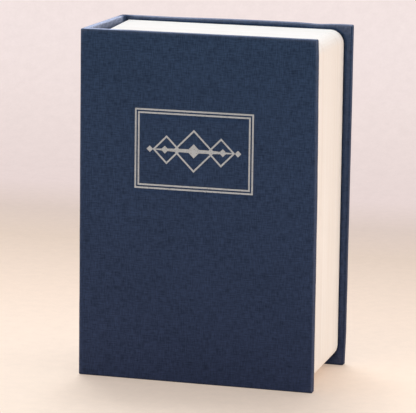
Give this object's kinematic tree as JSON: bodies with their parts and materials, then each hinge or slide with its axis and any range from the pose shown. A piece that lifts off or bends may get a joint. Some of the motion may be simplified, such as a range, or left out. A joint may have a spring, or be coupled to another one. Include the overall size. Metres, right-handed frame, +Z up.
{
  "type": "book diversion safe",
  "caption": "Small lockable safe made to look like a cloth-bound book: a hinged cover over a steel box with a hinged lid and cam lock, set in a moulded page block.",
  "frame": {"origin": "middle of the footprint of the closed book standing upright on its tail edge", "axes": "+X from the spine to the fore-edge, +Y from the front cover to the back cover, +Z up from tail to head"},
  "size_m": [0.08, 0.045, 0.115],
  "materials": {
    "book_cloth": "matte",
    "grey_board": "matte",
    "endpaper": "matte",
    "page_plastic": "satin",
    "black_steel": "satin",
    "bright_steel": "satin",
    "lock_chrome": "polished",
    "lock_plug_metal": "satin",
    "silver_foil": "satin"
  },
  "bodies": {
    "root": {"back_board": "grey_board", "back_cloth": "book_cloth", "back_pastedown": "endpaper", "back_joint_cloth": "book_cloth", "page_block": "page_plastic", "page_frame": "page_plastic", "steel_tray": "black_steel", "strike": "bright_steel", "hinge_pin": "bright_steel", "tray_screw_1": "bright_steel", "tray_screw_2": "bright_steel", "tray_screw_3": "bright_steel", "tray_screw_4": "bright_steel"},
    "spine": {"spine_board": "grey_board", "spine_cloth": "book_cloth", "spine_lining": "endpaper", "front_joint_cloth": "book_cloth"},
    "front_cover": {"front_board": "grey_board", "front_cloth": "book_cloth", "front_pastedown": "endpaper", "foil_rule_outer": "silver_foil", "foil_rule_inner": "silver_foil", "foil_ornament": "silver_foil"},
    "lid": {"lid": "black_steel", "lock_body": "lock_chrome", "lock_nut": "bright_steel", "lock_washer": "bright_steel"},
    "lock": {"lock_plug": "lock_plug_metal", "lock_cam": "bright_steel", "cam_washer": "bright_steel", "cam_screw": "bright_steel"}
  },
  "joints": [
    {"name": "spine_hinge", "type": "hinge", "parent": "root", "child": "spine", "pos_m": [-0.04, 0.02, 0.0575], "axis": [0, 0, -1], "range_deg": [0, 90], "deforming": ["back_joint_cloth"]},
    {"name": "cover_hinge", "type": "hinge", "parent": "spine", "child": "front_cover", "pos_m": [-0.04, -0.02, 0.0575], "axis": [0, 0, -1], "range_deg": [0, 180], "deforming": ["front_joint_cloth"]},
    {"name": "lid_hinge", "type": "hinge", "parent": "root", "child": "lid", "pos_m": [-0.02945, -0.0161, 0.058], "axis": [0, 0, -1], "range_deg": [0, 97.2]},
    {"name": "lock_turn", "type": "hinge", "parent": "lid", "child": "lock", "pos_m": [0.0235, -0.0176, 0.058], "axis": [0, 1, 0], "range_deg": [0, 90]}
  ],
  "couplings": [
    {"joint": "lid_hinge", "follows": "cover_hinge", "ratio": 0.54}
  ]
}
